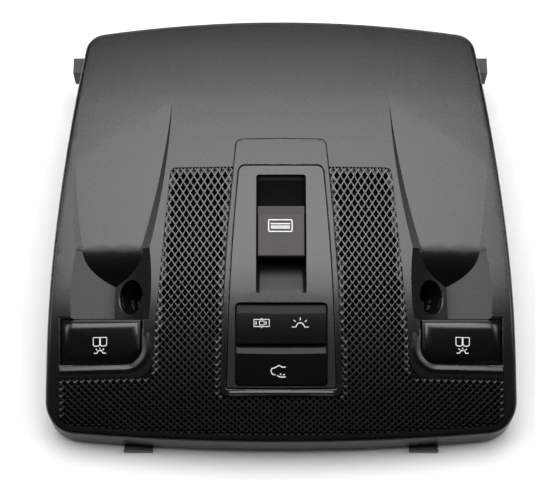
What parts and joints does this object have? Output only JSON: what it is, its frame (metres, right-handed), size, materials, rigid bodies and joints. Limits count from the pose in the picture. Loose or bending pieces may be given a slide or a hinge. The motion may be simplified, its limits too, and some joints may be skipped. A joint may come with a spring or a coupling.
{
  "type": "car dome light",
  "caption": "Overhead dome light unit for a car: crowned moulded face with two scooped reading lamps, a diamond-hole grille, a rocking roof switch and push buttons, on a back housing.",
  "frame": {"origin": "on the flat back of the housing, on the plane of symmetry, under the front part of the roof switch", "axes": "+X to the right of the face, +Y to its rear edge, +Z out of the face; it lies on its back"},
  "size_m": [0.2248, 0.21, 0.0537],
  "materials": {
    "bezel_grey": "fine grained, satin",
    "grille_grey": "fine grained, satin",
    "plate_grey": "satin",
    "cap_grey": "satin",
    "button_black": "gloss",
    "black_plastic": "matte",
    "plunger_white": "matte",
    "steel": "plain",
    "circuit_green": "satin",
    "can_metal": "plain",
    "contact_brass": "plain",
    "light_white": "gloss",
    "clear_lens": "clear",
    "boot_rubber": "matte"
  },
  "bodies": {
    "unit": {"front_bezel": "bezel_grey", "grille_insert": "grille_grey", "switch_plate": "plate_grey", "roof_switch_pin": "steel", "roof_switch_cradle": "black_plastic", "roof_switch_contacts": "contact_brass", "rocker_pin": "steel", "rocker_plungers": "plunger_white", "switch_cases": "black_plastic", "icon_leds": "light_white", "key_board": "circuit_green", "key_board_screws": "steel", "main_board": "circuit_green", "main_board_screws": "steel", "controller_chip": "black_plastic", "power_capacitors": "can_metal", "power_coil": "black_plastic", "harness_socket": "black_plastic", "socket_pins": "contact_brass", "left_lamp_barrel": "black_plastic", "right_lamp_barrel": "black_plastic", "left_lamp_lens": "clear_lens", "right_lamp_lens": "clear_lens", "left_lamp_board": "circuit_green", "right_lamp_board": "circuit_green", "left_lamp_led": "light_white", "right_lamp_led": "light_white", "left_microphone": "can_metal", "right_microphone": "can_metal", "left_microphone_boot": "boot_rubber", "right_microphone_boot": "boot_rubber", "rear_housing": "black_plastic", "housing_screws": "steel", "left_front_clip": "steel", "right_front_clip": "steel"},
    "roof_switch": {"roof_switch_cap": "cap_grey"},
    "twin_rocker": {"twin_rocker_button": "button_black"},
    "rear_light": {"rear_light_button": "button_black", "rear_light_plunger": "plunger_white"},
    "left_reading": {"left_reading_button": "button_black", "left_reading_plunger": "plunger_white"},
    "right_reading": {"right_reading_button": "button_black", "right_reading_plunger": "plunger_white"}
  },
  "joints": [
    {"name": "roof_switch_rock", "type": "hinge", "parent": "unit", "child": "roof_switch", "pos_m": [0, -0.00095, 0.03002], "axis": [1, 0, 0], "range_deg": [-8, 8], "stiffness_Nm_per_rad": 0.25},
    {"name": "twin_rocker_tip", "type": "hinge", "parent": "unit", "child": "twin_rocker", "pos_m": [0, -0.05148, 0.03203], "axis": [0, 0.9397, 0.342], "range_deg": [-3, 3], "stiffness_Nm_per_rad": 0.6},
    {"name": "rear_light_press", "type": "slide", "parent": "unit", "child": "rear_light", "axis": [0, 0.342, -0.9397], "range_m": [0, 0.001], "stiffness_N_per_m": 1500},
    {"name": "left_reading_press", "type": "slide", "parent": "unit", "child": "left_reading", "axis": [0, 0.342, -0.9397], "range_m": [0, 0.001], "stiffness_N_per_m": 1500},
    {"name": "right_reading_press", "type": "slide", "parent": "unit", "child": "right_reading", "axis": [0, 0.342, -0.9397], "range_m": [0, 0.001], "stiffness_N_per_m": 1500}
  ]
}
